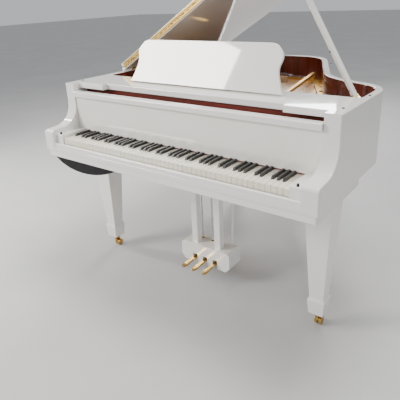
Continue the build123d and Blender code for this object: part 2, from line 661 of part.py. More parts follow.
with BuildPart() as pedal_box:
    with BuildSketch(Plane.XZ.offset(-(FRONT + 330))):
        Polygon((-150, 90), (-126, 64), (126, 64), (150, 90), (150, 158), (136, 172), (-136, 172), (-150, 158),
                align=None)
    extrude(amount=-100)
    fillet(pedal_box.edges().filter_by(Axis.Y), 2)
    for x in PEDAL_XS:
        block(x - 14, x + 14, FRONT + 320, FRONT + 416, 60, 112, mode=Mode.SUBTRACT)
    with Locations(*[(x, ROD_Y, 140) for x in PEDAL_XS]):
        Cylinder(5.5, 80, mode=Mode.SUBTRACT)
    for x in PEDAL_XS:
        rod_between((x - 16, PEDAL_PIVOT_Y, PEDAL_PIVOT_Z), (x + 16, PEDAL_PIVOT_Y, PEDAL_PIVOT_Z), 3)
save(pedal_box.part, "pedal_box")

for pedal_x, pedal_name in zip(PEDAL_XS, ("left", "middle", "right")):
    with BuildPart() as pedal:
        with BuildSketch(Plane.XY.offset(PEDAL_PIVOT_Z - 5)):
            with Locations((pedal_x, FRONT + 336)):
                Rectangle(18, 150)
            with Locations((pedal_x, FRONT + 255)):
                Ellipse(12.5, 34)
        extrude(amount=10)
        fillet(pedal.faces().sort_by(Axis.Z)[-1].edges().filter_by(
            lambda e: e.center().Y < FRONT + 300), 3)
        rod_between((pedal_x - 9, PEDAL_PIVOT_Y, PEDAL_PIVOT_Z), (pedal_x + 9, PEDAL_PIVOT_Y, PEDAL_PIVOT_Z), 8)
        rod_between((pedal_x - 10, PEDAL_PIVOT_Y, PEDAL_PIVOT_Z), (pedal_x + 10, PEDAL_PIVOT_Y, PEDAL_PIVOT_Z),
                    3.05, Mode.SUBTRACT)
    save(pedal.part, f"pedal_{pedal_name}")
    with BuildPart() as pedal_rod:
        rod_between((pedal_x, ROD_Y, PEDAL_PIVOT_Z + 5.4), (pedal_x, ROD_Y, 658), 4)
    save(pedal_rod.part, f"pedal_rod_{pedal_name}")

with BuildPart() as lyre_braces:
    for side in (-1, 1):
        rod_between((side * 105, FRONT + 425, 130), (side * 118, -317, RIM_BOTTOM + 6), 8)
    block(-150, 150, FRONT + 300, FRONT + 430, 60, 180, mode=Mode.SUBTRACT)
    block(-200, 200, -400, -200, RIM_BOTTOM, 800, mode=Mode.SUBTRACT)
    block(-200, 200, -400, KEYBED_BACK, KEYBED_Z, 800, mode=Mode.SUBTRACT)
save(lyre_braces.part, "lyre_braces")

with BuildPart() as control_unit:
    with BuildSketch(Plane.XZ.offset(-(FRONT + 34))):
        with BuildLine():
            top = Line((-712, KEYBED_Z), (-286, KEYBED_Z))
            right = Line(top @ 1, (-286, 622))
            low = Spline((-286, 622), (-350, 598), (-457, 576), (-605, 582), (-690, 612), (-712, 626))
            Line(low @ 1, top @ 0)
        make_face()
    extrude(amount=-185)
save(control_unit.part, "control_unit")
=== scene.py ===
"""Looks for a small white grand piano, built round its frame. Metres, +Z up, player at -Y."""

import json
import math
import random

import bmesh
import bpy
from bpy.props import FloatProperty, FloatVectorProperty, IntProperty, PointerProperty
from mathutils import Euler, Matrix, Vector


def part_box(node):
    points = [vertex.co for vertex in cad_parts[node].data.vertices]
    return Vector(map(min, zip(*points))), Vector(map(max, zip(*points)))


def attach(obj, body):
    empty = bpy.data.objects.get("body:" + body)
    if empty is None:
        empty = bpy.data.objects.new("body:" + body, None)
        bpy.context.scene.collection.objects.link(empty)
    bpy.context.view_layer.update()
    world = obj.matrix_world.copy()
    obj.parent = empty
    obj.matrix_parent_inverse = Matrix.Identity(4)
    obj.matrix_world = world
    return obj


bl_info = {
    "name": "White Grand Piano",
    "version": (1, 0, 0),
    "blender": (4, 5, 0),
    "location": "View3D > Sidebar > Piano",
    "description": "Finishes and small fittings for a white grand piano",
    "category": "Add Mesh",
}

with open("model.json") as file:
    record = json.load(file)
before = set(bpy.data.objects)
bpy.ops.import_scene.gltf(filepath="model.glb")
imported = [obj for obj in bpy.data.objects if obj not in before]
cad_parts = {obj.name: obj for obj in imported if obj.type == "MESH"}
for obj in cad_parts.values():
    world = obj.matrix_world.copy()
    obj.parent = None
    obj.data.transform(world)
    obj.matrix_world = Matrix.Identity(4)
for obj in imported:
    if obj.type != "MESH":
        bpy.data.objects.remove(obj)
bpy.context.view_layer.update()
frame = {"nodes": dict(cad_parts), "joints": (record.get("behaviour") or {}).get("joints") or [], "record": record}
SLOT_OF = {p["node"]: p["material_slot"] for p in frame["record"]["subparts"]}
OWN_FINISH = {"music_rail": "mahogany_rail", "flap_hinge": "hinge_brass"}
CORNERS = ("left", "right", "rear")
SHARP_ANGLE = math.radians(35)
SCREW_STEPS = 18

# Sockets of a Mix node in colour mode.
MIX_FACTOR, MIX_A, MIX_B, MIX_RESULT = 0, 6, 7, 2

# Rays that look down for the plate's top.
DOWN = Vector((0, 0, -1))
RAY_RISE = 0.05
RAY_LENGTH = 0.3
LEVEL_NORMAL = 0.9

# Plate bolts: places in plan, the ones on the bent side listed.
FLANGE_THICKNESS = 0.012
HEIGHT_SLACK = 0.002
BOLT_FRONT = -0.28
BOLT_TAIL_END = 0.05
BOLT_INSET = 0.022
BOLT_CORNER = 0.13
BENT_SIDE_BOLTS = ((0.672, -0.26), (0.670, -0.165), (0.615, -0.040), (0.50, 0.010), (0.40, 0.082),
                   (0.325, 0.205), (0.262, 0.345), (0.205, 0.475), (0.146, 0.600))
FEWEST_BOLTS = 12

# String studs: how far their feet are under the strings, and how strings are told apart.
STUD_DROP = {"treble_strings": 0.0115, "bass_strings": 0.023}
STUD_GRID = 0.004
STUD_GAP = 0.006
STUD_NEAR = 0.0012
STUD_AHEAD = 0.0042

# Felts.
STRING_FELTS = ((-0.60, -0.325), (-0.292, -0.035), (-0.003, 0.272), (0.307, 0.61))
STRING_FELT_Y = (-0.3825, -0.3715)
STRING_FELT_HEIGHT = 0.006
STRING_FELT_CUTS = 40
DAMPER_WIDTH = (0.0085, 0.0095)
FEWEST_DAMPERS = 20
DAMPER_FELT_INSET_X = 0.0003
DAMPER_FELT_INSET_Y = 0.002
DAMPER_FELT_BELOW = 0.0006
DAMPER_FELT_ABOVE = 0.0035
DAMPER_FELT_CUTS = 3
FELT_SEED = 7
FELT_EDGE_STRAY = 0.0008
FELT_TOP_STRAY = 0.0004
FELT_SHOULDER = 0.0008
FELT_ROUND = 0.002
FELT_CROWN = 0.0004

# Hitch pins and string tails. Mesh islands shorter than a string are its end faces.
SHORTEST_STRING = 0.03
STRING_END = 0.002
TAIL_START = 0.004
TAIL_STEP = 0.003
TAIL_LONGEST = 0.15
TAIL_OVERLAP = 0.002
TAIL_RADIUS = 0.0005
PIN_PAST_EDGE = 0.006
PIN_ABOVE_STRING = 0.004
PIN_RADIUS = 0.0021
PIN_TIP_RADIUS = 0.0014
PIN_TIP = 0.0012
FEWEST_PINS = 20

# Leaves of the long hinge, on both sides of its axis.
LEAF_INNER = 0.0031
LEAF_OUTER = 0.0165
LEAF_END_GAP = 0.002
LEAF_CUTS = 56
LEAF_SCREWS = 20
LEAF_SCREW_PART = 0.85

# Block screws: inset along X and Y, distance under the block's top, and part of the screw size.
LYRE_SCREWS = (0.014, 0.014, 0.018, 1.0)
LEG_SCREWS = (0.0055, 0.0075, 0.024, 0.9)

# Catches of the short prop, measured from the prop's pivot.
CATCHES_ALONG = (0.034, 0.214)
CATCH_SIDE = 0.0085
CATCH_FACE = 0.0079

HUB_RADIUS = 0.0125
HUB_RING_PITCH = 0.0035

# Stage. Each light has a name, place, target, size, watts and tint.
# The camera turns by yaw, pitch and roll in degrees.
FLOOR_SIZE = 60
FLOOR_CELLS = 24
WORLD_COLOUR = (0.90, 0.92, 0.96)
WORLD_STRENGTH = 0.62
LIGHTS = (
    ("key_panel", (-2.6, -3.0, 2.4), (0, -0.3, 0.8), (1.3, 1.3), 150, (1.0, 0.97, 0.93)),
    ("left_strip", (-3.1, -0.9, 1.5), (-0.2, -0.4, 0.9), (0.28, 2.4), 60, (1.0, 0.97, 0.94)),
    ("right_strip", (2.3, -3.2, 1.9), (0.4, -0.5, 0.7), (0.28, 2.4), 26, (0.96, 0.98, 1.0)),
    ("back_panel", (-1.6, 3.4, 2.8), (0, 0.2, 0.8), (1.6, 1.6), 90, (0.95, 0.97, 1.0)),
    ("top_panel", (0.4, 0.2, 4.4), (0, 0.0, 0.9), (1.8, 1.8), 170, (1.0, 0.98, 0.95)),
)
CAMERA_AT = (1.2518, -2.0381, 1.3760)
CAMERA_TURN = (37.86, 19.76, -2.67)
CAMERA_SHIFT = -0.10
CAMERA_NEAR = 0.02
SENSOR_MM = 36
LENS_MM = 41.085


# ---------------------------------------------------------------- settings
class PianoFinishes(bpy.types.PropertyGroup):
    """Colours of the finishes."""

    lacquer: FloatVectorProperty(
        name="Lacquer", description="White of the polished case", subtype="COLOR",
        default=(0.83, 0.81, 0.775))
    mahogany: FloatVectorProperty(
        name="Mahogany", description="Veneer inside the rim", subtype="COLOR",
        default=(0.125, 0.020, 0.013))
    plate: FloatVectorProperty(
        name="Plate", description="Gold paint of the iron plate", subtype="COLOR",
        default=(0.66, 0.375, 0.085))
    brass: FloatVectorProperty(
        name="Brass", description="Hinges, pedals and casters", subtype="COLOR",
        default=(0.62, 0.42, 0.145))
    felt: FloatVectorProperty(
        name="Felt", description="Dark red felt", subtype="COLOR",
        default=(0.25, 0.012, 0.018))
    ivory: FloatVectorProperty(
        name="Naturals", description="Covering of the natural keys", subtype="COLOR",
        default=(0.82, 0.77, 0.64))


class PianoSizes(bpy.types.PropertyGroup):
    """Sizes of the small fittings."""

    bolt_radius: FloatProperty(
        name="Plate bolt", description="Radius of a plate bolt's head",
        default=0.0075, unit="LENGTH")
    bolt_pitch: FloatProperty(
        name="Bolt pitch", description="Distance between plate bolts", default=0.16, unit="LENGTH")
    screw_radius: FloatProperty(
        name="Screw", description="Radius of a screw's head", default=0.0032, unit="LENGTH")
    hub_rings: IntProperty(
        name="Hub rings", description="Raised rings on each hub of the casters",
        default=2, min=1, max=4)


# ---------------------------------------------------------------- material kit
class Nodes:
    """Short way to write a procedural material's nodes."""

    def __init__(self, name):
        self.mat = bpy.data.materials.new(name)
        self.mat.use_nodes = True
        self.tree = self.mat.node_tree
        self.shader = self.tree.nodes["Principled BSDF"]
        self.place = self.tree.nodes.new("ShaderNodeTexCoord").outputs["Object"]

    def link(self, source, target):
        self.tree.links.new(source, target)

    def mapped(self, scale):
        node = self.tree.nodes.new("ShaderNodeMapping")
        node.inputs["Scale"].default_value = scale
        self.link(self.place, node.inputs["Vector"])
        return node.outputs["Vector"]

    def noise(self, scale, detail=4, rough=0.5, at=None, twist=0.0):
        node = self.tree.nodes.new("ShaderNodeTexNoise")
        node.inputs["Scale"].default_value = scale
        node.inputs["Detail"].default_value = detail
        node.inputs["Roughness"].default_value = rough
        node.inputs["Distortion"].default_value = twist
        self.link(at or self.place, node.inputs["Vector"])
        return node.outputs["Fac"]

    def bands(self, scale, at, direction):
        """Straight waves across one direction."""
        node = self.tree.nodes.new("ShaderNodeTexWave")
        node.wave_type = "BANDS"
        node.bands_direction = direction
        node.inputs["Scale"].default_value = scale
        node.inputs["Distortion"].default_value = 0
        node.inputs["Detail"].default_value = 3
        self.link(at, node.inputs["Vector"])
        return node.outputs["Fac"]

    def cells(self, scale):
        node = self.tree.nodes.new("ShaderNodeTexVoronoi")
        node.inputs["Scale"].default_value = scale
        self.link(self.place, node.inputs["Vector"])
        return node.outputs["Distance"]

    def ramp(self, source, *stops):
        node = self.tree.nodes.new("ShaderNodeValToRGB")
        ramp = node.color_ramp
        while len(ramp.elements) < len(stops):
            ramp.elements.new(0.5)
        for element, (at, value) in zip(ramp.elements, stops):
            element.position = at
            element.color = (*value, 1) if hasattr(value, "__len__") else (value, value, value, 1)
        self.link(source, node.inputs["Fac"])
        return node.outputs["Color"]

    def mix(self, fac, a, b):
        node = self.tree.nodes.new("ShaderNodeMix")
        node.data_type = "RGBA"
        for value, index in ((fac, MIX_FACTOR), (a, MIX_A), (b, MIX_B)):
            socket = node.inputs[index]
            if isinstance(value, bpy.types.NodeSocket):
                self.link(value, socket)
            elif hasattr(value, "__len__"):
                socket.default_value = (*value, 1)
            else:
                socket.default_value = value
        return node.outputs[MIX_RESULT]

    def edges(self, low, high):
        """1 on convex edges and 0 elsewhere, from the mesh's own curvature: the mask for painted edge highlights,
        and for the slightly darker lacquer edges.
        """
        node = self.tree.nodes.new("ShaderNodeNewGeometry")
        return self.ramp(node.outputs["Pointiness"], (low, 0.0), (high, 1.0))

    def sideways(self):
        """1 on faces that look along X, 0 elsewhere."""
        geometry = self.tree.nodes.new("ShaderNodeNewGeometry")
        split = self.tree.nodes.new("ShaderNodeSeparateXYZ")
        self.link(geometry.outputs["True Normal"], split.inputs["Vector"])
        size = self.tree.nodes.new("ShaderNodeMath")
        size.operation = "ABSOLUTE"
        self.link(split.outputs["X"], size.inputs[0])
        return self.ramp(size.outputs[0], (0.85, 0.0), (0.95, 1.0))

    def behind(self, y):
        """1 past a plane across the keys, 0 in front of it."""
        split = self.tree.nodes.new("ShaderNodeSeparateXYZ")
        self.link(self.place, split.inputs["Vector"])
        step = self.tree.nodes.new("ShaderNodeMath")
        step.operation = "GREATER_THAN"
        step.inputs[1].default_value = y
        self.link(split.outputs["Y"], step.inputs[0])
        return step.outputs[0]

    def colour(self, source):
        self.link(source, self.shader.inputs["Base Color"])

    def rough(self, source, low, high):
        self.link(self.ramp(source, (0.3, low), (0.7, high)), self.shader.inputs["Roughness"])

    def bump(self, source, strength, distance):
        node = self.tree.nodes.new("ShaderNodeBump")
        node.inputs["Strength"].default_value = strength
        node.inputs["Distance"].default_value = distance
        self.link(source, node.inputs["Height"])
        if self.shader.inputs["Normal"].is_linked:
            self.link(self.shader.inputs["Normal"].links[0].from_socket, node.inputs["Normal"])
        self.link(node.outputs["Normal"], self.shader.inputs["Normal"])

    def set(self, **values):
        for name, value in values.items():
            self.shader.inputs[name.replace("_", " ")].default_value = value


def shade(colour, k):
    """A colour made k times as bright."""
    return tuple(min(1.0, c * k) for c in colour)


def lacquer(name, colour):
    """Polished white polyester: faint cloudiness, long polishing ripple, convex edges a little darker."""
    m = Nodes(name)
    gloss = 0.035
    cloud = m.noise(3.5, 5, 0.6)
    fine = m.noise(90, 3)
    warm = (colour[0], colour[1] * 0.985, colour[2] * 0.955)
    # Convex edges are mixed a little towards a darker white, from the curvature mask.
    m.colour(m.mix(m.ramp(m.edges(0.53, 0.62), (0, 0.0), (1, 0.35)),
                   m.ramp(cloud, (0.35, warm), (0.65, colour)), shade(colour, 0.93)))
    m.rough(m.noise(14, 6, 0.65), gloss, gloss + 0.07)
    m.bump(m.noise(6, 2), 0.05, 0.004)
    m.bump(fine, 0.02, 0.0003)
    m.set(Coat_Weight=1.0, Coat_Roughness=0.02, IOR=1.5)
    return m.mat


def veneer(name, colour, along, rings, gloss, spread=0.5, fleck=0.25):
    """Wood: grain lines drawn out along one axis, darker pores and slow colour drift."""
    m = Nodes(name)
    stretch = [22.0, 22.0, 22.0]
    stretch["XYZ".index(along)] = 1.4
    at = m.mapped(stretch)
    grain = m.noise(rings, 6, 0.62, at, 0.6)
    pores = m.noise(rings * 9, 3, 0.5, at)
    drift = m.noise(1.7, 2)
    body = m.ramp(grain, (0.30, shade(colour, 1 - spread)), (0.52, colour),
                  (0.74, shade(colour, 1 + spread)))
    body = m.mix(m.ramp(drift, (0.35, 0.0), (0.7, 0.45)), body, shade(colour, 0.72))
    m.colour(m.mix(m.ramp(pores, (0.56, 0.0), (0.62, fleck)), body, shade(colour, 0.35)))
    m.rough(grain, gloss, gloss + 0.12)
    m.bump(grain, 0.12, 0.0006)
    m.bump(pores, 0.10, 0.0002)
    m.set(Coat_Weight=0.35 if gloss < 0.3 else 0.0, Coat_Roughness=0.1)
    return m.mat


def gold_paint(name, colour):
    """Bronze lacquer over rough cast iron, with a painted highlight on its convex edges."""
    m = Nodes(name)
    cast = m.cells(420)
    cloud = m.noise(9, 5, 0.6)
    # Convex edges painted up to 12% lighter: a painted highlight.
    m.colour(m.mix(m.edges(0.52, 0.60), m.ramp(cloud, (0.3, shade(colour, 0.74)), (0.7, colour)),
                   shade(colour, 1.12)))
    m.rough(m.noise(55, 5), 0.32, 0.5)
    m.bump(cast, 0.22, 0.0006)
    m.bump(cloud, 0.12, 0.002)
    m.set(Metallic=0.7)
    return m.mat


def bright_metal(name, colour, low, high, brushed=(1, 1, 30)):
    """Polished metal with handling haze, fine scratches and darker tarnish."""
    m = Nodes(name)
    haze = m.noise(38, 6, 0.7)
    scratch = m.noise(26, 4, 0.5, m.mapped(brushed))
    m.colour(m.mix(m.ramp(haze, (0.45, 0.0), (0.72, 0.5)), colour, shade(colour, 0.62)))
    m.rough(haze, low, high)
    m.bump(scratch, 0.10, 0.0002)
    m.set(Metallic=1.0)
    return m.mat


def hinge_brass(name, colour, along):
    """Brass of a long hinge: a dark seam between each knuckle and the next, light brushing."""
    m = Nodes(name)
    seams = m.bands(6.0, m.mapped(along), "DIAGONAL")
    haze = m.noise(34, 5, 0.6)
    base = m.mix(m.ramp(haze, (0.45, 0.0), (0.72, 0.4)), colour, shade(colour, 0.66))
    m.colour(m.mix(m.ramp(seams, (0.02, 1.0), (0.05, 0.0)), base, shade(colour, 0.12)))
    m.rough(haze, 0.16, 0.32)
    m.bump(seams, 0.15, 0.0003)
    m.set(Metallic=1.0)
    return m.mat


def wound_wire(name, colour):
    """Copper winding: close turns across the run of the string, with painted shade in the groove between each turn
    and the next.
    """
    m = Nodes(name)
    turns = m.bands(260, m.mapped((0.27, 1, 0)), "Y")
    # The bands paint a darker stripe in each groove between turns: painted shade.
    m.colour(m.mix(m.noise(25, 3), m.ramp(turns, (0.2, shade(colour, 0.45)), (0.8, colour)),
                   shade(colour, 0.8)))
    m.rough(turns, 0.26, 0.42)
    m.bump(turns, 0.6, 0.0006)
    m.set(Metallic=1.0)
    return m.mat


def key_timber(m):
    """Pale timber of the key levers, with its grain along the key."""
    grain = m.noise(30, 4, 0.6, m.mapped((8, 0.5, 8)))
    return m.ramp(grain, (0.3, (0.30, 0.19, 0.10)), (0.7, (0.42, 0.29, 0.16)))


def key_cover(name, colour, ends):
    """Moulded natural covering on a timber key: slight mottling, finger polish, and sides painted dark brown, bare
    timber darkened further as painted shade of the gaps between keys.
    """
    m = Nodes(name)
    mottle = m.noise(48, 5, 0.6)
    bare = key_timber(m)
    cover = m.mix(m.ramp(m.noise(7, 3), (0.4, 0.0), (0.65, 0.5)),
                  m.ramp(mottle, (0.3, shade(colour, 0.94)), (0.7, colour)), shade(colour, 0.9))
    # Key sides get a near-black brown: bare timber, darkened well past the key_timber colour as painted shade of
    # the narrow gaps between keys.
    m.colour(m.mix(m.behind(ends), m.mix(m.sideways(), cover, (0.06, 0.036, 0.018)), bare))
    m.rough(m.noise(21, 4), 0.16, 0.34)
    m.bump(m.noise(240, 2), 0.05, 0.0002)
    m.set(Coat_Weight=0.25, Coat_Roughness=0.12)
    return m.mat


def black_gloss(name, low, high, ends=None):
    """Near-black surface with a fine directional grain and convex edges painted grey as a painted highlight; bare
    timber past ends.
    """
    m = Nodes(name)
    lift = 0.014
    lines = m.noise(160, 4, 0.5, m.mapped((6, 0.6, 6)))
    # Convex edges are mixed towards grey: a painted highlight.
    black = m.mix(m.ramp(m.edges(0.52, 0.60), (0, 0.0), (1, 0.6)),
                  m.ramp(lines, (0.3, (lift * 0.5,) * 3), (0.7, (lift,) * 3)),
                  (0.06, 0.058, 0.055))
    m.colour(black if ends is None else m.mix(m.behind(ends), black, key_timber(m)))
    m.rough(m.noise(30, 5), low, high)
    m.bump(lines, 0.10, 0.0003)
    m.set(Specular_IOR_Level=0.22)
    return m.mat


def felt_cloth(name, colour):
    """Pressed wool: matted fibres with a little fuzz."""
    m = Nodes(name)
    fibre = m.noise(900, 5, 0.7, twist=1.5)
    clump = m.noise(120, 4)
    m.colour(m.mix(clump, m.ramp(fibre, (0.3, shade(colour, 0.55)), (0.7, shade(colour, 1.35))),
                   colour))
    m.rough(fibre, 0.86, 1.0)
    m.bump(fibre, 0.5, 0.0008)
    m.bump(clump, 0.3, 0.001)
    m.set(Sheen_Weight=0.5, Sheen_Roughness=0.45)
    return m.mat


def grained_black(name):
    """Moulded black plastic with a leathery grain."""
    m = Nodes(name)
    grain = m.cells(900)
    m.colour(m.mix(m.noise(11, 4),
                   m.ramp(grain, (0.1, (0.005, 0.005, 0.006)), (0.6, (0.011, 0.011, 0.013))),
                   (0.008, 0.008, 0.009)))
    m.rough(m.noise(60, 4), 0.34, 0.5)
    m.bump(grain, 0.15, 0.0003)
    m.set(Specular_IOR_Level=0.14)
    return m.mat


def studio_floor(name):
    """Plain pale floor, slightly uneven in tone."""
    m = Nodes(name)
    m.colour(m.ramp(m.noise(1.3, 4), (0.3, (0.47, 0.465, 0.46)), (0.7, (0.52, 0.515, 0.51))))
    m.rough(m.noise(5, 5), 0.5, 0.65)
    m.bump(m.noise(220, 3), 0.04, 0.0004)
    return m.mat


MATERIALS = {}


def make_finishes(c):
    """All finishes by the record's slot names, with a few extra for the small fittings."""
    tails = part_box("fallboard")[1][1] - 0.006
    MATERIALS.update(
        white_lacquer=lacquer("white_lacquer", tuple(c.lacquer)),
        mahogany=veneer("mahogany", tuple(c.mahogany), "Z", 1.5, 0.12),
        mahogany_rail=veneer("mahogany_rail", tuple(c.mahogany), "X", 1.5, 0.14),
        rim_wood=veneer("rim_wood", (0.50, 0.31, 0.15), "Y", 1.3, 0.36, 0.22, 0.12),
        action_wood=veneer("action_wood", (0.58, 0.42, 0.25), "X", 1.4, 0.5, 0.2, 0.1),
        spruce=veneer("spruce", (0.56, 0.33, 0.13), "Y", 3.2, 0.32, 0.25, 0.06),
        gold_iron=gold_paint("gold_iron", tuple(c.plate)),
        steel=bright_metal("steel", (0.62, 0.62, 0.64), 0.16, 0.34),
        copper_wound=wound_wire("copper_wound", (0.72, 0.33, 0.15)),
        damper_black=black_gloss("damper_black", 0.12, 0.26),
        brass=bright_metal("brass", tuple(c.brass), 0.12, 0.30, (30, 1, 30)),
        leaf_brass=bright_metal(
            "leaf_brass", shade(tuple(c.brass), 0.85), 0.3, 0.44, (40, 40, 40)),
        hinge_brass=hinge_brass("hinge_brass", tuple(c.brass), (1.0, 0.0, 0.6)),
        rubber=grained_black("rubber"),
        ivory=key_cover("ivory", tuple(c.ivory), tails),
        ebony=black_gloss("ebony", 0.26, 0.42, ends=tails),
        red_felt=felt_cloth("red_felt", tuple(c.felt)),
        white_felt=felt_cloth("white_felt", (0.72, 0.70, 0.65)),
        black_plastic=grained_black("black_plastic"),
        floor=studio_floor("studio_floor"))


# ---------------------------------------------------------------- mesh kit
def as_piece(name, bm, material, body):
    """Turns a bmesh into a smooth-shaded piece that rides on a body."""
    mesh = bpy.data.meshes.new(name)
    bmesh.ops.recalc_face_normals(bm, faces=bm.faces)
    bm.to_mesh(mesh)
    bm.free()
    obj = bpy.data.objects.new(name, mesh)
    bpy.context.scene.collection.objects.link(obj)
    for face in mesh.polygons:
        face.use_smooth = True
    mesh.set_sharp_from_angle(angle=SHARP_ANGLE)
    mesh.materials.append(MATERIALS[material])
    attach(obj, body)
    return obj


def circle(steps):
    """Cosine and sine at even steps round a full turn."""
    angles = (2 * math.pi * i / steps for i in range(steps))
    return [(math.cos(a), math.sin(a)) for a in angles]


def skin(bm, rows, ring=False):
    """Joins closed outlines one after another: shut at both ends, or bent round into a ring."""
    for a, b in zip(rows, rows[1:] + rows[:1] if ring else rows[1:]):
        for k in range(len(a)):
            n = (k + 1) % len(a)
            bm.faces.new((a[k], a[n], b[n], b[k]))
    if not ring:
        bm.faces.new(rows[-1])
        bm.faces.new(rows[0][::-1])


def turned(bm, at, profile, steps, axis=(0, 0, 1)):
    """Adds a turned shape: profile is (radius, height) pairs from the bottom up, along axis."""
    spin = Vector((0, 0, 1)).rotation_difference(Vector(axis)).to_matrix().to_4x4()
    place = Matrix.Translation(at) @ spin
    skin(bm, [[bm.verts.new(place @ Vector((radius * c, radius * s, height)))
               for c, s in circle(steps)] for radius, height in profile])


def screw_head(bm, at, radius):
    """A screw head that faces down: a shallow dome with a dished middle."""
    profile = ((1.0, 0.0), (1.0, 0.16), (0.8, 0.34), (0.42, 0.42), (0.3, 0.2))
    turned(bm, at, [(radius * out, radius * rise) for out, rise in profile], SCREW_STEPS, DOWN)


def screw_ring(bm, at, radius, run, up):
    """A flush screw head that faces -Y: a rim 0.04 mm proud round a dished middle."""
    rings = ((1.0, 0.0001), (1.0, -0.00004), (0.72, -0.00002), (0.3, 0.00006))
    rows = []
    for part, y in rings:
        r, middle = radius * part, Vector((0, y, 0))
        rows.append([bm.verts.new(at + run * (r * c) + up * (r * s) + middle)
                     for c, s in circle(SCREW_STEPS)])
    skin(bm, rows)


def soft_strip(bm, x_span, y_span, z_span, cuts):
    """A strip of felt run along X, with a crowned top and slightly uneven edges."""
    (x0, x1), (y0, y1), (z0, z1) = x_span, y_span, z_span
    rng = random.Random(FELT_SEED)
    rows = []
    for i in range(cuts + 1):
        x = x0 + (x1 - x0) * i / cuts
        stray = (rng.random() - 0.5) * FELT_EDGE_STRAY
        top = z1 + (rng.random() - 0.5) * FELT_TOP_STRAY
        front, back, shoulder = y0 + stray, y1 + stray, top - FELT_SHOULDER
        rows.append([bm.verts.new((x, y, z)) for y, z in (
            (front, z0), (front, shoulder), (front + FELT_ROUND, top),
            ((y0 + y1) / 2, top + FELT_CROWN),
            (back - FELT_ROUND, top), (back, shoulder), (back, z0))])
    skin(bm, rows)


def islands(bm):
    """Vertex positions of each connected part of a mesh."""
    seen = set()
    for start in bm.verts:
        if start in seen:
            continue
        stack, island = [start], []
        seen.add(start)
        while stack:
            vert = stack.pop()
            island.append(vert.co.copy())
            for edge in vert.link_edges:
                other = edge.other_vert(vert)
                if other not in seen:
                    seen.add(other)
                    stack.append(other)
        yield island


def string_ends(node):
    """Middle of the front end and of the back end of every string of a node, from the bass up."""
    bm = bmesh.new()
    bm.from_mesh(frame["nodes"][node].data)
    ends = []
    for island in islands(bm):
        low, high = min(c.y for c in island), max(c.y for c in island)
        if high - low < SHORTEST_STRING:
            continue
        ends.append(tuple(sum(near, Vector()) / len(near) for near in (
            [c for c in island if c.y < low + STRING_END],
            [c for c in island if c.y > high - STRING_END])))
    bm.free()
    return sorted(ends, key=lambda pair: pair[0].x)


def top_of(node, x, y):
    """The point on a CAD node's level top at a place in plan, or None."""
    above = Vector((x, y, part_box(node)[1][2] + RAY_RISE))
    ok, where, normal, _ = frame["nodes"][node].ray_cast(above, DOWN, distance=RAY_LENGTH)
    return where if ok and normal.z > LEVEL_NORMAL else None


def plate_flange():
    """Height of the top of the plate's flange."""
    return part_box("iron_plate")[0][2] + FLANGE_THICKNESS


def joint_named(name):
    """Where a joint of the record is, and the unit vector of its axis."""
    joint = next(j for j in frame["joints"] if j["name"] == name)
    return Vector(joint["pos_m"]), Vector(joint["axis"]).normalized()


# ---------------------------------------------------------------- operators
class PieceOperator:
    """Shared settings of the operators below."""

    bl_options = {"REGISTER", "UNDO"}

    @property
    def sizes(self):
        return bpy.context.scene.piano_sizes


class PIANO_OT_case(PieceOperator, bpy.types.Operator):
    """Finishes on every CAD piece"""

    bl_idname = "piano.case"
    bl_label = "Case finishes"

    def execute(self, context):
        make_finishes(context.scene.piano_finishes)
        for name, node in frame["nodes"].items():
            node.data.materials.clear()
            node.data.materials.append(MATERIALS[OWN_FINISH.get(name, SLOT_OF[name])])
        return {"FINISHED"}


class PIANO_OT_plate_bolts(PieceOperator, bpy.types.Operator):
    """Domed bolts round the plate's flange"""

    bl_idname = "piano.plate_bolts"
    bl_label = "Plate bolts"

    def execute(self, context):
        (left, _, _), (_, back, _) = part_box("rim_lining")
        pitch, r = self.sizes.bolt_pitch, self.sizes.bolt_radius
        spots = []
        y = BOLT_FRONT
        while y < back - BOLT_CORNER:
            spots.append((left + BOLT_INSET, y))
            y += pitch
        x = left + BOLT_CORNER
        while x < BOLT_TAIL_END:
            spots.append((x, back - BOLT_INSET))
            x += pitch
        hits = [top_of("iron_plate", x, y) for x, y in (*spots, *BENT_SIDE_BOLTS)]
        hits = [h for h in hits if h and h.z < plate_flange() + HEIGHT_SLACK]
        if len(hits) < FEWEST_BOLTS:
            raise RuntimeError("too few places for plate bolts")
        washer = ((r * 1.5, 0), (r * 1.5, 0.0016))
        head = ((r, 0.0018), (r, 0.0045), (r * 0.86, 0.0062), (r * 0.5, 0.0072))
        bm = bmesh.new()
        for h in hits:
            turned(bm, h, (*washer, *head), 20)
        as_piece("plate_bolts", bm, "gold_iron", "case")
        return {"FINISHED"}


class PIANO_OT_string_studs(PieceOperator, bpy.types.Operator):
    """Brass studs that the strings leave from"""

    bl_idname = "piano.string_studs"
    bl_label = "String studs"

    def execute(self, context):
        bm = bmesh.new()
        for node, drop in STUD_DROP.items():
            verts = frame["nodes"][node].data.vertices
            front = min(v.co.y for v in verts)
            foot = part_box(node)[0][2] - drop
            profile = ((0.0034, 0), (0.0034, 0.004), (0.0026, 0.005), (0.0026, drop + 0.001),
                       (0.0018, drop + 0.0032))
            xs = {round(v.co.x / STUD_GRID) * STUD_GRID
                  for v in verts if v.co.y < front + STUD_NEAR}
            last = None
            for x in sorted(xs):
                if last is None or x - last > STUD_GAP:
                    turned(bm, (x, front - STUD_AHEAD, foot), profile, 10)
                    last = x
        as_piece("string_studs", bm, "brass", "case")
        return {"FINISHED"}


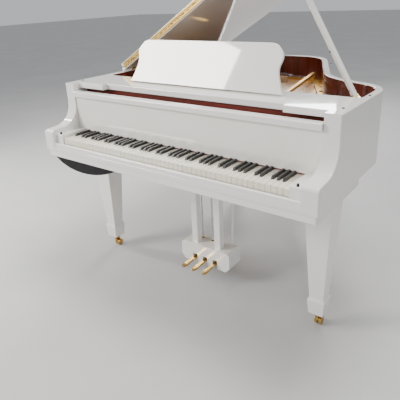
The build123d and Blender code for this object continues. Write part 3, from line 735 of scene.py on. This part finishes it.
class PIANO_OT_felts(PieceOperator, bpy.types.Operator):
    """Red felt on the plate in front of the studs, and white felt under the damper heads"""

    bl_idname = "piano.felts"
    bl_label = "Felt strips"

    def execute(self, context):
        flange = plate_flange()
        bm = bmesh.new()
        for x_span in STRING_FELTS:
            soft_strip(bm, x_span, STRING_FELT_Y, (flange, flange + STRING_FELT_HEIGHT),
                       STRING_FELT_CUTS)
        as_piece("string_felts", bm, "red_felt", "case")

        lowest = {}
        for v in frame["nodes"]["dampers"].data.vertices:
            x = round(v.co.x, 4)
            lowest[x] = min(lowest.get(x, v.co.z), v.co.z)
        xs = sorted(lowest)
        heads = [(a, b) for a, b in zip(xs, xs[1:]) if DAMPER_WIDTH[0] < b - a < DAMPER_WIDTH[1]]
        if len(heads) < FEWEST_DAMPERS:
            raise RuntimeError("too few damper heads found")
        (_, front, _), (_, back, _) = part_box("dampers")
        bm = bmesh.new()
        y_span = (front + DAMPER_FELT_INSET_Y, back - DAMPER_FELT_INSET_Y)
        for a, b in heads:
            soft_strip(bm, (a + DAMPER_FELT_INSET_X, b - DAMPER_FELT_INSET_X), y_span,
                       (lowest[a] - DAMPER_FELT_BELOW, lowest[a] + DAMPER_FELT_ABOVE),
                       DAMPER_FELT_CUTS)
        as_piece("damper_felts", bm, "white_felt", "case")
        return {"FINISHED"}


class PIANO_OT_hitch_pins(PieceOperator, bpy.types.Operator):
    """Steel pins on the plate behind the bridges, and the string tails that reach them"""

    bl_idname = "piano.hitch_pins"
    bl_label = "Hitch pins and string tails"

    def execute(self, context):
        pins, tails = bmesh.new(), bmesh.new()
        count = 0
        for node in ("bass_strings", "treble_strings"):
            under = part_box(node)[0][2]
            for front, back in string_ends(node):
                run = (back - front).normalized()
                reach = TAIL_START
                while reach < TAIL_LONGEST and not top_of("iron_plate", *(back + run * reach).xy):
                    reach += TAIL_STEP
                foot = top_of("iron_plate", *(back + run * (reach + PIN_PAST_EDGE)).xy)
                if not foot or foot.z > under:
                    continue
                rise = under + PIN_ABOVE_STRING - foot.z
                turned(pins, foot, ((PIN_RADIUS, 0), (PIN_RADIUS, rise),
                                    (PIN_TIP_RADIUS, rise + PIN_TIP)), 10)
                length = reach + PIN_PAST_EDGE + TAIL_OVERLAP
                turned(tails, back - run * TAIL_OVERLAP,
                       ((TAIL_RADIUS, 0), (TAIL_RADIUS, length)), 6, run)
                count += 1
        if count < FEWEST_PINS:
            raise RuntimeError("too few hitch pins over the plate")
        as_piece("hitch_pins", pins, "steel", "case")
        as_piece("string_tails", tails, "steel", "case")
        return {"FINISHED"}


class PIANO_OT_block_screws(PieceOperator, bpy.types.Operator):
    """Screws under the blocks of the lyre and the legs"""

    bl_idname = "piano.block_screws"
    bl_label = "Block screws"

    def execute(self, context):
        blocks = {"lyre_frame": LYRE_SCREWS, **{"leg_" + side: LEG_SCREWS for side in CORNERS}}
        bm = bmesh.new()
        for node, (inset_x, inset_y, drop, part) in blocks.items():
            low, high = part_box(node)
            for x in (low[0] + inset_x, high[0] - inset_x):
                for y in (low[1] + inset_y, high[1] - inset_y):
                    screw_head(bm, (x, y, high[2] - drop), self.sizes.screw_radius * part)
        as_piece("block_screws", bm, "steel", "case")
        return {"FINISHED"}


class PIANO_OT_flap_leaves(PieceOperator, bpy.types.Operator):
    """Brass leaves of the long hinge on the edges of the lid and its flap, with their screws"""

    bl_idname = "piano.flap_leaves"
    bl_label = "Flap hinge leaves"

    def execute(self, context):
        base, run = joint_named("flap_hinge")
        up = run.cross(Vector((0, 1, 0))).normalized()
        node = frame["nodes"]["flap_hinge"]
        along = [(node.matrix_world @ v.co - base).dot(run) for v in node.data.vertices]
        start, end = min(along) + LEAF_END_GAP, max(along) - LEAF_END_GAP

        def at(part):
            return base + run * (start + (end - start) * part)

        sides = (("lid", -LEAF_OUTER, -LEAF_INNER), ("flap", LEAF_INNER, LEAF_OUTER))
        for body, low, high in sides:
            outline = ((0.0005, low), (0.00022, low), (0.0001, low + 0.0006),
                       (0.0001, high - 0.0006), (0.00022, high), (0.0005, high))
            bm = bmesh.new()
            skin(bm, [[bm.verts.new(at(i / LEAF_CUTS) + up * z + Vector((0, y, 0)))
                       for y, z in outline] for i in range(LEAF_CUTS + 1)])
            as_piece("hinge_leaf_" + body, bm, "leaf_brass", body)
            bm = bmesh.new()
            for i in range(LEAF_SCREWS):
                middle = at((i + 0.5) / LEAF_SCREWS) + up * (low + high) / 2
                middle += Vector((0, 0.0001, 0))
                screw_ring(bm, middle, self.sizes.screw_radius * LEAF_SCREW_PART, run, up)
            as_piece("hinge_leaf_screws_" + body, bm, "brass", body)
        return {"FINISHED"}


class PIANO_OT_prop_pads(PieceOperator, bpy.types.Operator):
    """Small dark catches at both ends of the short prop"""

    bl_idname = "piano.prop_pads"
    bl_label = "Prop catches"

    def execute(self, context):
        base, pin = joint_named("prop_pivot")
        low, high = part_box("prop_stick")
        run = (Vector((low[0], high[1], high[2])) - base).normalized()
        run = (run - pin * run.dot(pin)).normalized()
        side = pin.cross(run)
        profile = ((0.0046, 0), (0.0046, 0.0009), (0.0034, 0.0018), (0.0016, 0.0021))
        bm = bmesh.new()
        for along in CATCHES_ALONG:
            for face in (-1, 1):
                at = base + run * along + side * CATCH_SIDE + pin * face * CATCH_FACE
                turned(bm, at, profile, 14, pin * face)
        as_piece("prop_catches", bm, "rubber", "prop")
        return {"FINISHED"}


class PIANO_OT_pedal_ferrules(PieceOperator, bpy.types.Operator):
    """Brass ferrules where the pedal rods leave the pedal box and enter the key bed"""

    bl_idname = "piano.pedal_ferrules"
    bl_label = "Pedal ferrules"

    def execute(self, context):
        top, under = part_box("pedal_box")[1][2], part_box("keybed")[0][2]
        profile = ((0.0055, 0), (0.0098, 0), (0.0098, 0.0012), (0.0078, 0.0026), (0.0055, 0.003))
        bm = bmesh.new()
        for side in ("left", "middle", "right"):
            low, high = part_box("pedal_rod_" + side)
            x, y = (low[0] + high[0]) / 2, (low[1] + high[1]) / 2
            for z, way in ((top, 1), (under, -1)):
                skin(bm, [[bm.verts.new((x + radius * c, y + radius * s, z + way * height))
                           for c, s in circle(24)] for radius, height in profile], ring=True)
        as_piece("pedal_ferrules", bm, "brass", "case")
        return {"FINISHED"}


class PIANO_OT_caster_rings(PieceOperator, bpy.types.Operator):
    """Raised hub rings on the caster wheels"""

    bl_idname = "piano.caster_rings"
    bl_label = "Caster hubs"

    def execute(self, context):
        for side in CORNERS:
            low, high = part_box("caster_wheels_" + side)
            y, z = (low[1] + high[1]) / 2, (low[2] + high[2]) / 2
            bm = bmesh.new()
            for x, face in ((low[0], -1), (high[0], 1)):
                for k in range(self.sizes.hub_rings):
                    r = HUB_RADIUS - HUB_RING_PITCH * k
                    section = ((r, -0.0004), (r, 0.0005), (r - 0.0009, 0.0009),
                               (r - 0.0018, 0.0005), (r - 0.0018, -0.0004))
                    skin(bm, [[bm.verts.new((x + face * rise, y + radius * c, z + radius * s))
                               for c, s in circle(28)] for radius, rise in section], ring=True)
            as_piece("caster_hubs_" + side, bm, "brass", "wheels_" + side)
        return {"FINISHED"}


class PIANO_OT_stage(PieceOperator, bpy.types.Operator):
    """Floor, lights and camera"""

    bl_idname = "piano.stage"
    bl_label = "Stage"

    def execute(self, context):
        link = context.scene.collection.objects.link
        bm = bmesh.new()
        ticks = [FLOOR_SIZE * (i / FLOOR_CELLS - 0.5) for i in range(FLOOR_CELLS + 1)]
        grid = [[bm.verts.new((x, y, 0)) for y in ticks] for x in ticks]
        for a, b in zip(grid, grid[1:]):
            for j in range(FLOOR_CELLS):
                bm.faces.new((a[j], b[j], b[j + 1], a[j + 1]))
        mesh = bpy.data.meshes.new("floor")
        bm.to_mesh(mesh)
        bm.free()
        floor = bpy.data.objects.new("floor", mesh)
        link(floor)
        mesh.materials.append(MATERIALS["floor"])

        world = bpy.data.worlds.new("studio")
        world.use_nodes = True
        background = world.node_tree.nodes["Background"].inputs
        background["Color"].default_value = (*WORLD_COLOUR, 1)
        background["Strength"].default_value = WORLD_STRENGTH
        context.scene.world = world
        for name, at, target, size, power, tint in LIGHTS:
            light = bpy.data.lights.new(name, "AREA")
            light.shape = "RECTANGLE"
            light.size, light.size_y = size
            light.energy = power
            light.color = tint
            lamp = bpy.data.objects.new(name, light)
            lamp.location = at
            lamp.rotation_euler = (Vector(target) - Vector(at)).to_track_quat("-Z", "Y").to_euler()
            link(lamp)

        camera = bpy.data.objects.new("camera", bpy.data.cameras.new("camera"))
        camera.location = CAMERA_AT
        yaw, pitch, roll = (math.radians(angle) for angle in CAMERA_TURN)
        look = Euler((math.pi / 2 - pitch, 0, yaw)).to_matrix() @ Matrix.Rotation(roll, 3, "Z")
        camera.rotation_euler = look.to_euler()
        camera.data.sensor_width = SENSOR_MM
        camera.data.lens = LENS_MM
        camera.data.shift_y = CAMERA_SHIFT
        camera.data.clip_start = CAMERA_NEAR
        link(camera)
        context.scene.camera = camera
        return {"FINISHED"}


OPERATORS = (
    PIANO_OT_case,
    PIANO_OT_plate_bolts,
    PIANO_OT_string_studs,
    PIANO_OT_felts,
    PIANO_OT_hitch_pins,
    PIANO_OT_block_screws,
    PIANO_OT_flap_leaves,
    PIANO_OT_prop_pads,
    PIANO_OT_pedal_ferrules,
    PIANO_OT_caster_rings,
    PIANO_OT_stage,
)


class PIANO_PT_panel(bpy.types.Panel):
    """Lists the piano's settings and steps"""

    bl_idname = "PIANO_PT_panel"
    bl_label = "Grand piano"
    bl_space_type = "VIEW_3D"
    bl_region_type = "UI"
    bl_category = "Piano"

    def draw(self, context):
        for group in (context.scene.piano_finishes, context.scene.piano_sizes):
            for name in group.bl_rna.properties.keys():
                if name not in ("rna_type", "name"):
                    self.layout.prop(group, name)
        for op in OPERATORS:
            self.layout.operator(op.bl_idname)


CLASSES = (PianoFinishes, PianoSizes, *OPERATORS, PIANO_PT_panel)


def register():
    for cls in CLASSES:
        bpy.utils.register_class(cls)
    bpy.types.Scene.piano_finishes = PointerProperty(type=PianoFinishes)
    bpy.types.Scene.piano_sizes = PointerProperty(type=PianoSizes)


def unregister():
    del bpy.types.Scene.piano_sizes
    del bpy.types.Scene.piano_finishes
    for cls in reversed(CLASSES):
        bpy.utils.unregister_class(cls)


def main():
    register()
    for op in OPERATORS:
        group, name = op.bl_idname.split(".")
        getattr(getattr(bpy.ops, group), name)()


if __name__ == "__main__":
    main()
